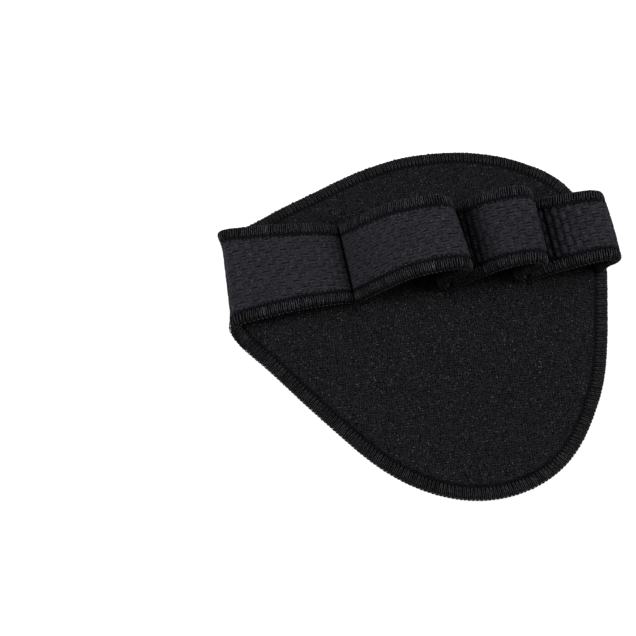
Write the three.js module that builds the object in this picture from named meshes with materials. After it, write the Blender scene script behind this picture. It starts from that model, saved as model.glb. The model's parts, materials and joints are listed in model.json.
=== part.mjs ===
// A lifting grip pad for the right hand: a teardrop of padded fabric that covers the palm, whose
// tail is folded over at the index finger's side and sewn down across the back in three rows and
// at the far edge, so that it makes four finger loops. Millimetres, +Z up, grip fabric down.
// Drawn from the fold: +X runs along the finger strip, +Y towards the fingertips.
import * as THREE from "three";

// Driving dimensions
const LAMINATE = 3.6; // foam with its jersey face, and the grip fabric, together
const GRIP_FABRIC = 1.0;
const FABRIC_GAP = 0.2; // between the foam and the grip fabric
const FOOT_GAP = 0.3; // between the sewn-down strip and the pad under it
const JOIN_GAP = 0.3; // where the pad's pieces end and the strip's begin, at the fold
const EDGING_WIDTH = 4.0; // how far the overlock edging reaches in from the cut edge
const EDGING_WALL = 0.45;
const EDGING_GAP = 0.2;
const EDGING_CHAMFER = 0.5;
const RIM_SLOPE = 0.55; // run over which the laminate is pinched from full height to rim height
const FOLD_RADIUS = 3.3; // middle of the laminate, where the tail turns over
const LOOP_HEIGHT = { middle: 19.2, ring: 14.5, little: 10.0 }; // crown over foot
const HAIRPIN_RADIUS = 2.7; // middle of the laminate, where one loop ends and the next begins

const HALF = LAMINATE / 2;
const FOLD_X = HALF + FOLD_RADIUS; // the pad is flat from here on
const FOOT_Z = LAMINATE + FOOT_GAP + HALF;
const END_Z = LAMINATE + FOOT_GAP; // the strip's end stands on the pad's rim

// The pad's outline, anticlockwise from the fold's lower corner to its upper one.
// x and y in millimetres, heading is the direction of travel in degrees.
const PAD_OUTLINE = [
  { x: 0.0, y: -18.0, heading: -51 },
  { x: 34.0, y: -58.9, heading: -49 },
  { x: 52.1, y: -74.1, heading: -29 },
  { x: 73.5, y: -80.2, heading: -1 },
  { x: 96.1, y: -73.5, heading: 35 },
  { x: 111.4, y: -53.3, heading: 63 },
  { x: 117.4, y: -34.4, heading: 78 },
  { x: 121.2, y: -13.5, heading: 80 },
  { x: 112.8, y: 19.6, heading: 128 },
  { x: 99.3, y: 29.1, heading: 153 },
  { x: 84.0, y: 34.0, heading: 168 },
  { x: 67.5, y: 35.2, heading: 180 },
  { x: 50.0, y: 32.6, heading: 194 },
  { x: 29.0, y: 25.3, heading: 200 },
  { x: 0.0, y: 14.4, heading: 201 },
];

// The finger strip's profile, middle of the laminate at mid width, from the fold to its end.
// heading: direction of travel in degrees; low, high: where its two edges run in y;
// skew: how much further along x the strip lies for each millimetre towards the low edge.
const middleTop = FOOT_Z + LOOP_HEIGHT.middle;
const ringTop = FOOT_Z + LOOP_HEIGHT.ring;
const littleTop = FOOT_Z + LOOP_HEIGHT.little;
const foldTop = HALF + 2 * FOLD_RADIUS;
const STRIP_PROFILE = [
  { x: FOLD_X, z: HALF, heading: 180, low: -24.3, high: 16.3, skew: 0 },
  { x: HALF, z: HALF + FOLD_RADIUS, heading: 90, low: -18.4, high: 16.0, skew: 0 },
  { x: FOLD_X, z: foldTop, heading: 8, low: -17.6, high: 15.4, skew: 0.02 },
  { x: 20.0, z: foldTop + 2.2, heading: -1, low: -16.4, high: 13.9, skew: 0.05 },
  { x: 37.2, z: FOOT_Z + 0.7, heading: -24, low: -14.6, high: 13.5, skew: 0.081 },
  { x: 38.8, z: FOOT_Z, heading: 5, low: -14.4, high: 13.5, skew: 0.081 },
  { x: 40.3, z: FOOT_Z + 0.9, heading: 40, low: -14.3, high: 13.4, skew: 0.085 },
  { x: 47.4, z: middleTop - 11.0, heading: 44, low: -13.8, high: 13.2, skew: 0.1 },
  { x: 57.6, z: middleTop - 2.6, heading: 22, low: -13.1, high: 12.8, skew: 0.13 },
  { x: 69.2, z: middleTop, heading: 0, low: -12.8, high: 12.4, skew: 0.159 },
  { x: 73.2, z: middleTop - 4.0, heading: -90, low: -12.8, high: 12.4, skew: 0.159 },
  { x: 67.3, z: FOOT_Z + HAIRPIN_RADIUS + 1.6, heading: -98, low: -13.0, high: 12.6, skew: 0.1 },
  { x: 69.7, z: FOOT_Z, heading: 0, low: -13.2, high: 13.0, skew: 0.08 },
  { x: 76.2, z: FOOT_Z + 4.9, heading: 44, low: -13.2, high: 13.2, skew: 0.08 },
  { x: 84.5, z: ringTop - 3.2, heading: 34, low: -13.0, high: 13.5, skew: 0.07 },
  { x: 94.7, z: ringTop, heading: 0, low: -13.0, high: 13.5, skew: 0.064 },
  { x: 98.7, z: ringTop - 4.0, heading: -90, low: -13.0, high: 13.5, skew: 0.064 },
  { x: 92.2, z: FOOT_Z + HAIRPIN_RADIUS, heading: -90, low: -13.2, high: 13.2, skew: 0.07 },
  { x: 94.6, z: FOOT_Z, heading: 0, low: -13.2, high: 13.0, skew: 0.08 },
  { x: 101.0, z: FOOT_Z + 3.8, heading: 36, low: -13.0, high: 12.8, skew: 0.08 },
  { x: 109.0, z: littleTop - 1.6, heading: 18, low: -13.0, high: 11.8, skew: 0.08 },
  { x: 117.6, z: littleTop, heading: 0, low: -12.8, high: 11.2, skew: 0.075 },
  { x: 121.4, z: littleTop - 3.8, heading: -90, low: -12.6, high: 11.2, skew: 0.09 },
  { x: 118.0, z: littleTop - 7.4, heading: -128, low: -12.6, high: 11.2, skew: 0.18 },
  { x: 115.7, z: END_Z, heading: -90, low: -12.6, high: 11.2, skew: 0.294 },
];

// How finely curves are divided
const OUTLINE_STEP = 6.0;
const PROFILE_STEP = 3.2;
const MAX_TURN = 20; // degrees of turn in one facet at most
const LID_WIDTH = 30; // of the strip in the flat drawing that its ends' triangles are found in

const COLOURS = {
  jersey: { color: 0x1c1c1e, roughness: 0.86 },
  grip: { color: 0x29282c, roughness: 0.7 },
  thread: { color: 0x1c1c1e, roughness: 0.8 },
};

const rad = THREE.MathUtils.degToRad;

// Points of a smooth curve through stations, given as [u, v] and a heading at each one.
// Between two stations it is the cubic nearest to a circular arc.
function smoothCurve(stations, u, v, step) {
  const points = [];
  for (let i = 0; i + 1 < stations.length; i += 1) {
    const a = stations[i];
    const b = stations[i + 1];
    let turn = b.heading - a.heading;
    turn -= 360 * Math.round(turn / 360);
    const chord = Math.hypot(b[u] - a[u], b[v] - a[v]);
    const handle = chord / (3 * Math.cos(rad(turn) / 4) ** 2);
    const start = new THREE.Vector2(a[u], a[v]);
    const end = new THREE.Vector2(b[u], b[v]);
    const leaving = new THREE.Vector2(Math.cos(rad(a.heading)), Math.sin(rad(a.heading)));
    const arriving = new THREE.Vector2(Math.cos(rad(b.heading)), Math.sin(rad(b.heading)));
    const cubic = new THREE.CubicBezierCurve(
      start,
      start.clone().addScaledVector(leaving, handle),
      end.clone().addScaledVector(arriving, -handle),
      end,
    );
    const pieces = Math.max(1, Math.ceil(chord / step), Math.ceil(Math.abs(turn) / MAX_TURN));
    for (let k = i === 0 ? 0 : 1; k <= pieces; k += 1) {
      const t = k / pieces;
      const place = cubic.getPoint(t);
      const tangent = cubic.getTangent(t);
      points.push({ place, tangent, from: a, to: b, t });
    }
  }
  return points;
}

// A closed mesh from rings of points that all have the same count, with a lid on the first and
// the last ring. The lid's triangles are found in the flat drawing that is given for it.
function solidFromRings(rings, flatLid) {
  const count = rings[0].length;
  const positions = rings.flat().flatMap((p) => [p.x, p.y, p.z]);
  const triangles = [];
  for (let r = 0; r + 1 < rings.length; r += 1) {
    for (let k = 0; k < count; k += 1) {
      const next = (k + 1) % count;
      const a = r * count + k;
      const b = r * count + next;
      const c = b + count;
      const d = a + count;
      // Faces that lie against each other are split alike, along the shorter diagonal.
      const ac = rings[r][k].distanceTo(rings[r + 1][next]);
      const bd = rings[r][next].distanceTo(rings[r + 1][k]);
      if (ac < bd) triangles.push(a, b, c, a, c, d);
      else triangles.push(a, b, d, b, c, d);
    }
  }
  const last = (rings.length - 1) * count;
  for (const [i, j, k] of lidTriangles(flatLid(rings[0]))) triangles.push(k, j, i);
  for (const [i, j, k] of lidTriangles(flatLid(rings.at(-1)))) {
    triangles.push(last + i, last + j, last + k);
  }
  const geometry = new THREE.BufferGeometry();
  geometry.setAttribute("position", new THREE.Float32BufferAttribute(positions, 3));
  geometry.setIndex(triangles);
  if (signedVolume(geometry) < 0) {
    triangles.reverse();
    geometry.setIndex(triangles);
  }
  geometry.computeVertexNormals();
  return geometry;
}

// Triangles over a flat outline, turning the way that the outline runs.
function lidTriangles(flat) {
  const faces = THREE.ShapeUtils.triangulateShape(flat, []);
  return THREE.ShapeUtils.isClockWise(flat) ? faces.map(([i, j, k]) => [k, j, i]) : faces;
}

function signedVolume(geometry) {
  const at = geometry.getAttribute("position");
  const corner = (k) => new THREE.Vector3().fromBufferAttribute(at, geometry.index.getX(k));
  let volume = 0;
  for (let k = 0; k < geometry.index.count; k += 3) {
    volume += corner(k).dot(corner(k + 1).cross(corner(k + 2))) / 6;
  }
  return volume;
}

// Rim sections: how far in from the cut edge, and how high over the laminate's jersey side.
const RIM = EDGING_WALL + EDGING_GAP;
const PINCH_END = EDGING_WIDTH + EDGING_GAP;
const FOAM_TOP = LAMINATE - GRIP_FABRIC - FABRIC_GAP;

function edgingSection() {
  const c = EDGING_CHAMFER;
  const w = EDGING_WALL;
  return [
    { inset: EDGING_WIDTH, height: 0 },
    { inset: c, height: 0 },
    { inset: 0, height: c },
    { inset: 0, height: LAMINATE - c },
    { inset: c, height: LAMINATE },
    { inset: EDGING_WIDTH, height: LAMINATE },
    { inset: EDGING_WIDTH, height: LAMINATE - w },
    { inset: w, height: LAMINATE - w },
    { inset: w, height: w },
    { inset: EDGING_WIDTH, height: w },
  ];
}

// One layer of the laminate from its open middle round the pinched rim and back.
function layerRim(bottom, top, bottomPinch, topPinch) {
  return [
    { inset: PINCH_END + RIM_SLOPE, height: bottom },
    { inset: PINCH_END, height: bottom + bottomPinch },
    { inset: RIM, height: bottom + bottomPinch },
    { inset: RIM, height: top + topPinch },
    { inset: PINCH_END, height: top + topPinch },
    { inset: PINCH_END + RIM_SLOPE, height: top },
  ];
}

const foamRim = () => layerRim(0, FOAM_TOP, RIM, -RIM);
const gripRim = () => layerRim(LAMINATE - GRIP_FABRIC, LAMINATE, -RIM, -RIM);

// The pad lies with its jersey side up, so heights are measured down from its top.
const padZ = (height) => LAMINATE - height;

const outline = smoothCurve(PAD_OUTLINE, "x", "y", OUTLINE_STEP);

// The outline moved inwards, from the line x = start round to the same line again. Its two ends
// run straight on to that line from the first and the last point that is well clear of it.
function insetOutline(inset, start) {
  const kept = outline.filter(({ place }) => place.x > start + 2 * EDGING_WIDTH);
  const moved = kept.map(({ place, tangent }) => ({
    x: place.x - tangent.y * inset,
    y: place.y + tangent.x * inset,
  }));
  const onStart = (point, { tangent }) => ({
    x: start,
    y: point.y + ((start - point.x) * tangent.y) / tangent.x,
  });
  return [onStart(moved[0], kept[0]), ...moved, onStart(moved.at(-1), kept.at(-1))];
}

function padLayer(rim) {
  const rings = rim.map(({ inset, height }) =>
    insetOutline(inset, FOLD_X + JOIN_GAP).map(({ x, y }) => new THREE.Vector3(x, y, padZ(height))));
  return solidFromRings(rings, (ring) => ring.map((p) => new THREE.Vector2(p.x, p.y)));
}

function padEdging() {
  const section = edgingSection();
  const lines = section.map(({ inset }) => insetOutline(inset, FOLD_X + JOIN_GAP));
  const rings = lines[0].map((_, k) =>
    section.map(({ height }, s) => new THREE.Vector3(lines[s][k].x, lines[s][k].y, padZ(height))));
  return solidFromRings(rings, () => section.map((p) => new THREE.Vector2(p.inset, p.height)));
}

const profile = smoothCurve(STRIP_PROFILE, "x", "z", PROFILE_STEP);

// A point of the strip: step k of the profile, y across it, height over its jersey side.
function onStrip(k, y, height) {
  const { place, tangent, from, to, t } = profile[k];
  const skew = THREE.MathUtils.lerp(from.skew, to.skew, t);
  const lift = height - HALF;
  return new THREE.Vector3(
    place.x - tangent.y * lift - skew * y,
    y,
    place.y + tangent.x * lift,
  );
}

function stripEdges(k) {
  const { from, to, t } = profile[k];
  const ease = THREE.MathUtils.smoothstep(t, 0, 1);
  return {
    low: THREE.MathUtils.lerp(from.low, to.low, ease),
    high: THREE.MathUtils.lerp(from.high, to.high, ease),
  };
}

function stripLayer(rim) {
  const rings = profile.map((_, k) => {
    const { low, high } = stripEdges(k);
    const lowSide = rim.map(({ inset, height }) => onStrip(k, low + inset, height));
    const highSide = rim.map(({ inset, height }) => onStrip(k, high - inset, height)).reverse();
    return [...lowSide, ...highSide];
  });
  const flat = [
    ...rim.map(({ inset, height }) => new THREE.Vector2(inset, height)),
    ...rim.map(({ inset, height }) => new THREE.Vector2(LID_WIDTH - inset, height)).reverse(),
  ];
  return solidFromRings(rings, () => flat);
}

function stripEdging(side) {
  const section = edgingSection();
  const rings = profile.map((_, k) => {
    const { low, high } = stripEdges(k);
    return section.map(({ inset, height }) =>
      onStrip(k, side === "low" ? low + inset : high - inset, height));
  });
  return solidFromRings(rings, () => section.map((p) => new THREE.Vector2(p.inset, p.height)));
}

function piece(name, geometry, { color, roughness }) {
  const mesh = new THREE.Mesh(
    geometry,
    new THREE.MeshStandardMaterial({ color, roughness, metalness: 0, flatShading: true }),
  );
  mesh.name = name;
  return mesh;
}

const gripPad = new THREE.Group();
gripPad.add(
  piece("palm_pad", padLayer(foamRim()), COLOURS.jersey),
  piece("palm_grip_face", padLayer(gripRim()), COLOURS.grip),
  piece("pad_edging", padEdging(), COLOURS.thread),
  piece("finger_strip", stripLayer(foamRim()), COLOURS.jersey),
  piece("strip_grip_face", stripLayer(gripRim()), COLOURS.grip),
  piece("strip_edging_upper", stripEdging("high"), COLOURS.thread),
  piece("strip_edging_lower", stripEdging("low"), COLOURS.thread),
);

// The origin is the middle of the box's underside.
const box = new THREE.Box3().setFromObject(gripPad);
const middle = box.getCenter(new THREE.Vector3());
gripPad.position.set(-middle.x, -middle.y, -box.min.z);

export default gripPad;
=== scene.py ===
# A lifting grip pad for the right hand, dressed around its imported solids: a laminate of jersey,
# foam and woven grip fabric, folded over and sewn into four finger loops, with overlocked edges.
# Shapes are worked out in millimetres and put into the row frame as each mesh is made.
import json
import math
from collections import namedtuple

import bpy
import numpy as np
from mathutils import Euler, Matrix, Vector
from mathutils.geometry import delaunay_2d_cdt
from mathutils.kdtree import KDTree

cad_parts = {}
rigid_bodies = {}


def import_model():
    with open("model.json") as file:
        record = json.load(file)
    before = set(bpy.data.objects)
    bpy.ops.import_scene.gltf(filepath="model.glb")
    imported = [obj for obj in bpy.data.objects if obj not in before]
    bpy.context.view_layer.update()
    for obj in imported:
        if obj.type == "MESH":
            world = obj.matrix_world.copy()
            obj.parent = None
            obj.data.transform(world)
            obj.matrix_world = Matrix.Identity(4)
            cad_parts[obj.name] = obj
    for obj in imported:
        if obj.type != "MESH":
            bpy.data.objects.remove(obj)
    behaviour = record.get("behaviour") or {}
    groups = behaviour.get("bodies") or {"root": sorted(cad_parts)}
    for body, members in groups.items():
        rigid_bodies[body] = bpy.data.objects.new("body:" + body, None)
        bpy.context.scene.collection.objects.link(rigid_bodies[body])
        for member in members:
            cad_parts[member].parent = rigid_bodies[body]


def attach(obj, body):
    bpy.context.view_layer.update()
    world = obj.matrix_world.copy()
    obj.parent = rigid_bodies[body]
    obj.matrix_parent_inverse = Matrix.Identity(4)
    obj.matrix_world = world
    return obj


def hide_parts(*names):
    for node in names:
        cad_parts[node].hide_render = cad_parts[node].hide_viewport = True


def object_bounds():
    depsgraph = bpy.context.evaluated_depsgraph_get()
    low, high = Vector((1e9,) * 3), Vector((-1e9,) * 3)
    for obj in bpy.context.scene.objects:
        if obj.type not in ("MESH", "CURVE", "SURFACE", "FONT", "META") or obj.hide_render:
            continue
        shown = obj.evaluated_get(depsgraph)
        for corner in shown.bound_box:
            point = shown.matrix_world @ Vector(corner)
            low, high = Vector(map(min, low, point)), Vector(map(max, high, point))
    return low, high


for leftover in list(bpy.data.objects):
    bpy.data.objects.remove(leftover)

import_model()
CAD_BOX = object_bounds()
MM = 0.001

# Driving sizes in millimetres, as in the part's source
LAMINATE = 3.6
FOOT_GAP = 0.3
FOLD_RADIUS = 3.3
HAIRPIN_RADIUS = 2.7
LOOP_HEIGHTS = (19.2, 14.5, 10.0)  # over their feet, for the middle, ring and little finger
HALF = LAMINATE / 2
FOLD_X = HALF + FOLD_RADIUS
FOOT_Z = LAMINATE + FOOT_GAP + HALF
END_Z = LAMINATE + FOOT_GAP

# Sizes that only show in the looks
WEAVE_PITCH = 2.16  # one yarn of the grip fabric, along and across
GRIP_DIP, JERSEY_DIP = 0.44, 0.46  # how far in the overlock lies on the two faces
CLOTH_DIP = 0.24  # how far it presses the grip fabric in
LOW_BAND, PAD_BAND, HIGH_BAND = 3.4, 3.9, 4.0  # needle line to cut edge
STITCH = 1.27  # overlock, needle hole to needle hole
LOOPER_RADIUS, CHAIN_RADIUS, NEEDLE_RADIUS = 0.18, 0.19, 0.23
FOAM_PARTING, CLOTH_PARTING = 0.03, 0.02  # how far from the fold the strip's pieces start
ROW_STITCH = 2.3  # rows of stitches across the strip, hole to hole
ROW_BELOW, ROW_ABOVE = 0.7, 3.0  # how far they go on over the pad beyond the strip's edges
ROW_RADIUS, LOOSE_RADIUS = 0.21, 0.11  # their thread, and its loose ends
# How far the edging stands out at the fold, where, and how soon
FLARE, FLARE_AT, FLARE_REACH = 1.4, -5.0, 7.0
CROWN, CROWN_REACH = 0.45, 6.0  # how much a raised loop is crowned across, and how soon
# Dents at the rows of stitches, as shares of the laminate's height on the strip and on the pad
WIDE_DENT, WIDE_DENT_REACH = (0.30, 0.16), 1.9
NARROW_DENT, NARROW_DENT_REACH = (0.24, 0.12), 0.5
DENT_BELOW, DENT_ABOVE = 0.6, 2.4  # how far they go on beyond the strip's edges

Corner = namedtuple("Corner", "x y heading")
PAD_OUTLINE = [
    Corner(0.0, -18.0, -51),
    Corner(34.0, -58.9, -49),
    Corner(52.1, -74.1, -29),
    Corner(73.5, -80.2, -1),
    Corner(96.1, -73.5, 35),
    Corner(111.4, -53.3, 63),
    Corner(117.4, -34.4, 78),
    Corner(121.2, -13.5, 80),
    Corner(112.8, 19.6, 128),
    Corner(99.3, 29.1, 153),
    Corner(84.0, 34.0, 168),
    Corner(67.5, 35.2, 180),
    Corner(50.0, 32.6, 194),
    Corner(29.0, 25.3, 200),
    Corner(0.0, 14.4, 201),
]

FOLD_TOP = HALF + 2 * FOLD_RADIUS
MIDDLE_TOP, RING_TOP, LITTLE_TOP = (FOOT_Z + height for height in LOOP_HEIGHTS)
Station = namedtuple("Station", "x z heading low high skew")
STRIP_PROFILE = [
    Station(FOLD_X, HALF, 180, -24.3, 16.3, 0),
    Station(HALF, HALF + FOLD_RADIUS, 90, -18.4, 16.0, 0),
    Station(FOLD_X, FOLD_TOP, 8, -17.6, 15.4, 0.02),
    Station(20.0, FOLD_TOP + 2.2, -1, -16.4, 13.9, 0.05),
    Station(37.2, FOOT_Z + 0.7, -24, -14.6, 13.5, 0.081),
    Station(38.8, FOOT_Z, 5, -14.4, 13.5, 0.081),
    Station(40.3, FOOT_Z + 0.9, 40, -14.3, 13.4, 0.085),
    Station(47.4, MIDDLE_TOP - 11.0, 44, -13.8, 13.2, 0.1),
    Station(57.6, MIDDLE_TOP - 2.6, 22, -13.1, 12.8, 0.13),
    Station(69.2, MIDDLE_TOP, 0, -12.8, 12.4, 0.159),
    Station(73.2, MIDDLE_TOP - 4.0, -90, -12.8, 12.4, 0.159),
    Station(67.3, FOOT_Z + HAIRPIN_RADIUS + 1.6, -98, -13.0, 12.6, 0.1),
    Station(69.7, FOOT_Z, 0, -13.2, 13.0, 0.08),
    Station(76.2, FOOT_Z + 4.9, 44, -13.2, 13.2, 0.08),
    Station(84.5, RING_TOP - 3.2, 34, -13.0, 13.5, 0.07),
    Station(94.7, RING_TOP, 0, -13.0, 13.5, 0.064),
    Station(98.7, RING_TOP - 4.0, -90, -13.0, 13.5, 0.064),
    Station(92.2, FOOT_Z + HAIRPIN_RADIUS, -90, -13.2, 13.2, 0.07),
    Station(94.6, FOOT_Z, 0, -13.2, 13.0, 0.08),
    Station(101.0, FOOT_Z + 3.8, 36, -13.0, 12.8, 0.08),
    Station(109.0, LITTLE_TOP - 1.6, 18, -13.0, 11.8, 0.08),
    Station(117.6, LITTLE_TOP, 0, -12.8, 11.2, 0.075),
    Station(121.4, LITTLE_TOP - 3.8, -90, -12.6, 11.2, 0.09),
    Station(118.0, LITTLE_TOP - 7.4, -128, -12.6, 11.2, 0.18),
    Station(115.7, END_Z, -90, -12.6, 11.2, 0.294),
]
PAD_LOWEST = min(corner.y for corner in PAD_OUTLINE)

# How sewing has drawn the strip: at a length along it, its low and high edges up, x and z
Draw = namedtuple("Draw", "s low high x z")
STRIP_DRAWN = [
    Draw(0, 0, 0, 0, 0),
    Draw(9, 1.3, 0.3, 0, 0),
    Draw(43, 1.3, 0.3, 0, 0),
    Draw(47, 1.0, 0.1, 0, 0),
    Draw(84, 0.2, 0.1, 0, 0),
    Draw(100, 0.4, 0.3, 0, 0),
    Draw(112, 1.0, 0.7, 0, 0),
    Draw(138, 1.0, 0.7, 0, 0),
    Draw(160, 0.4, 0.3, 0, 0),
    Draw(166, 0.4, 0.3, 0, -0.6),
    Draw(171, 0.4, 0.3, 0.1, -1.2),
    Draw(176, 0.4, 0.3, 0.5, -0.7),
    Draw(182, 0.4, 0.3, 0.9, 0),
    Draw(196, 0.4, 0.3, 0.9, 0),
    Draw(206, 0, 0, 0, 0),
]
PAD_DRAWN, PAD_TOP_DRAWN = 0.5, 0.35  # how far the pad's edge is pulled out, and its top more


def row_frame(points):
    """Points in millimetres from the fold, in metres in the row frame."""
    low = CAD_BOX[0]
    shift = np.array([low.x, low.y - PAD_LOWEST * MM, low.z])
    return np.asarray(points, float) * MM + shift


# Lines

def soften(rows, sigma):
    """Rows of numbers smoothed along their order, with both ends kept."""
    reach = int(3 * sigma) + 1
    kernel = np.exp(-0.5 * (np.arange(-reach, reach + 1) / sigma) ** 2)
    kernel /= kernel.sum()
    head = 2 * rows[0] - rows[reach:0:-1]
    tail = 2 * rows[-1] - rows[-2:-reach - 2:-1]
    longer = np.concatenate([head, rows, tail])
    return np.column_stack([np.convolve(column, kernel, "valid") for column in longer.T])


def arc_between(a, b, count):
    """Points of the cubic nearest to an arc from station a to station b."""
    start, end = np.array(a[:2], float), np.array(b[:2], float)
    turn = (b.heading - a.heading + 180) % 360 - 180
    handle = np.linalg.norm(end - start) / (3 * math.cos(math.radians(turn) / 4) ** 2)
    headings = np.radians([a.heading, b.heading])
    leaving, arriving = np.column_stack([np.cos(headings), np.sin(headings)])
    first, second = start + handle * leaving, end - handle * arriving
    t = np.linspace(0, 1, count)[:, None]
    return ((1 - t) ** 3 * start + 3 * (1 - t) ** 2 * t * first
            + 3 * (1 - t) * t ** 2 * second + t ** 3 * end)


def lengths_along(points):
    return np.concatenate([[0.0], np.cumsum(np.linalg.norm(np.diff(points, axis=0), axis=1))])


class Line:
    """A smooth line in a plane, with what belongs to its points, read by the length along it."""

    def __init__(self, rows, step, soft):
        along = lengths_along(rows[:, :2])
        even = np.linspace(0, along[-1], int(along[-1] / step) + 1)
        rows = np.column_stack([np.interp(even, along, column) for column in rows.T])
        self.rows = soften(rows, soft / step)
        self.along = lengths_along(self.rows[:, :2])
        self.length = self.along[-1]
        heading = np.gradient(self.rows[:, :2], self.along, axis=0)
        self.heading = heading / np.linalg.norm(heading, axis=1)[:, None]

    def read(self, at):
        return [np.interp(at, self.along, column) for column in self.rows.T]

    def direction(self, at):
        return [np.interp(at, self.along, column) for column in self.heading.T]

    def nearest(self, point):
        away = np.linalg.norm(self.rows[:, :2] - point, axis=1)
        return self.along[away.argmin()]


def strip_line():
    """The finger strip's profile as a line of x and z, with low, high and skew."""
    rows = []
    for a, b in zip(STRIP_PROFILE, STRIP_PROFILE[1:]):
        place = arc_between(a, b, 25)
        along = lengths_along(place) / lengths_along(place)[-1]
        rest = np.array(a[3:]) + along[:, None] * np.subtract(b[3:], a[3:])
        rows.append(np.column_stack([place, rest])[:-1])
    rows.append(np.array([b[:2] + b[3:]]))
    return Line(np.concatenate(rows), 0.1, 0.35)


STRIP = strip_line()

Row = namedtuple("Row", "at x skew low high")
ROWS = [
    Row(STRIP.nearest((s.x, s.z)), s.x, s.skew, s.low, s.high)
    for s in STRIP_PROFILE if s.z == FOOT_Z
]


def drawn(s):
    """The strip's low edge, high edge, x and z shifts at lengths along it."""
    at, *shifts = np.array(STRIP_DRAWN).T
    return [np.interp(s, at, shift) for shift in shifts]


def cut_edge():
    """The edge of the flat cut: along the tail's low edge to the fold, round the pad and back
    along the tail's high edge. u is 0 at the fold, positive on the pad, negative on the tail."""
    s = np.arange(0.4, STRIP.length, 0.4)
    _, _, low, high, _ = STRIP.read(s)
    low_drawn, high_drawn, _, _ = drawn(s)
    low, high = low + low_drawn, high + high_drawn
    pad = np.concatenate([
        arc_between(a, b, 40)[:-1] for a, b in zip(PAD_OUTLINE, PAD_OUTLINE[1:])
    ])
    heading = np.gradient(pad, axis=0)
    outwards = np.column_stack([heading[:, 1], -heading[:, 0]])
    outwards /= np.linalg.norm(outwards, axis=1)[:, None]
    pull = PAD_DRAWN + PAD_TOP_DRAWN * np.clip(outwards[:, 1], 0, 1) ** 0.7
    pad += outwards * (pull * np.clip((pad[:, 0] - FOLD_X) / 15, 0, 1))[:, None]
    pad = pad[pad[:, 0] > FOLD_X + 0.2] - [FOLD_X, 0]
    tail_low = np.column_stack([-s, low])[::-1]
    tail_high = np.column_stack([-s, high])
    return Line(np.concatenate([tail_low, pad, tail_high]), 0.25, 1.3)


EDGE = cut_edge()
FOLD_LOW = EDGE.along[np.argmax(EDGE.rows[:, 0] > 0)]
FOLD_HIGH = EDGE.along[len(EDGE.along) - 1 - np.argmax(EDGE.rows[::-1, 0] > 0)]
FOLD_STOPS = [FOLD_LOW - 8, FOLD_LOW + 8, FOLD_HIGH - 8, FOLD_HIGH + 8]


def on_pad_share(u):
    """0 on the tail and 1 on the pad, with an even change at the fold."""
    share = np.clip(u / 16 + 0.5, 0, 1)
    return share * share * (3 - 2 * share)


def band(at):
    """How far the overlock reaches in from the cut edge, at lengths along it."""
    return np.interp(at, FOLD_STOPS, [LOW_BAND, PAD_BAND, PAD_BAND, HIGH_BAND])


def from_edge(at, share):
    """A point of the flat cut, by the length along its edge and how far in from it, where 1 is
    the overlock's needle line."""
    u, v = EDGE.read(at)
    heading_u, heading_v = EDGE.direction(at)
    inset = share * band(at) / np.hypot(heading_u, heading_v)
    return u - heading_v * inset, v + heading_u * inset


def ripple(u, v, length, seed):
    """A smooth uneven surface between about -1 and 1, with waves about that long."""
    random = np.random.default_rng(seed)
    total = np.zeros(np.broadcast(u, v).shape)
    waves = 9
    for _ in range(waves):
        turn = random.uniform(0, 2 * math.pi)
        pace = 2 * math.pi / (length * random.uniform(0.7, 1.5))
        phase = random.uniform(0, 2 * math.pi)
        total += np.sin(pace * (u * math.cos(turn) + v * math.sin(turn)) + phase)
    return total / math.sqrt(2 * waves)


def press(u, v):
    """The share of the laminate's height that the rows of stitches take away."""
    total = 0.0
    for row in ROWS:
        beyond = np.maximum(v - row.high - DENT_ABOVE, row.low - DENT_BELOW - v)
        on_pad = np.hypot(FOLD_X + u + row.skew * v - row.x, np.maximum(0, beyond))
        away = np.where(u < 0, np.abs(-u - row.at), on_pad)
        wide = np.where(u < 0, *WIDE_DENT) * np.exp(-(away / WIDE_DENT_REACH) ** 2)
        narrow = np.where(u < 0, *NARROW_DENT) * np.exp(-(away / NARROW_DENT_REACH) ** 2)
        total = total + wide + narrow
    return total


def sewn_shade(u, v):
    """Painted shade at the rows of stitches, an uneven line where they pull the strip in."""
    total = np.zeros(np.broadcast(u, v).shape)
    for row in ROWS:
        wander = 0.30 * ripple(v, row.at, 4.0, 42)
        wide = 0.44 + 0.20 * ripple(v, row.at, 2.0, 43)
        deep = 0.86 + 0.16 * ripple(v, row.at, 3.0, 44)
        total += np.where(u < 0, deep * np.exp(-((-u - row.at - wander) / wide) ** 4), 0)
    return total


def in_space(u, v, height):
    """Millimetres from the fold of a point of the flat cut at a height over its jersey side."""
    u, v, height = np.broadcast_arrays(u, v, height)
    height = height * (1 - press(u, v))
    s = np.clip(-u, 0, STRIP.length)
    x, z, low, high, skew = STRIP.read(s)
    heading_x, heading_z = STRIP.direction(s)
    across = np.clip((2 * v - low - high) / (high - low), -1, 1)
    raised = np.clip((z - FOOT_Z) / CROWN_REACH, 0, 1) * np.clip(s / CROWN_REACH, 0, 1)
    lift = height - HALF + CROWN * raised * (0.6 - across ** 2)
    _, _, x_drawn, z_drawn = drawn(s)
    x, z = x + x_drawn, z + z_drawn
    near_edge = np.clip(1 - np.minimum(v - low, high - v) / FLARE_REACH, 0, 1.1)
    flare = FLARE * np.exp(-((u - FLARE_AT) / FLARE_REACH) ** 2) * near_edge ** 1.3
    tail = np.stack([x - heading_z * lift - skew * v - flare, v, z + heading_x * lift], -1)
    pad = np.stack([FOLD_X + u - flare, v, LAMINATE - height], -1)
    return np.where((u < 0)[..., None], tail, pad)


# Meshes

def add_object(name, data):
    made = bpy.data.objects.new(name, data)
    bpy.context.scene.collection.objects.link(made)
    return made


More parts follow.
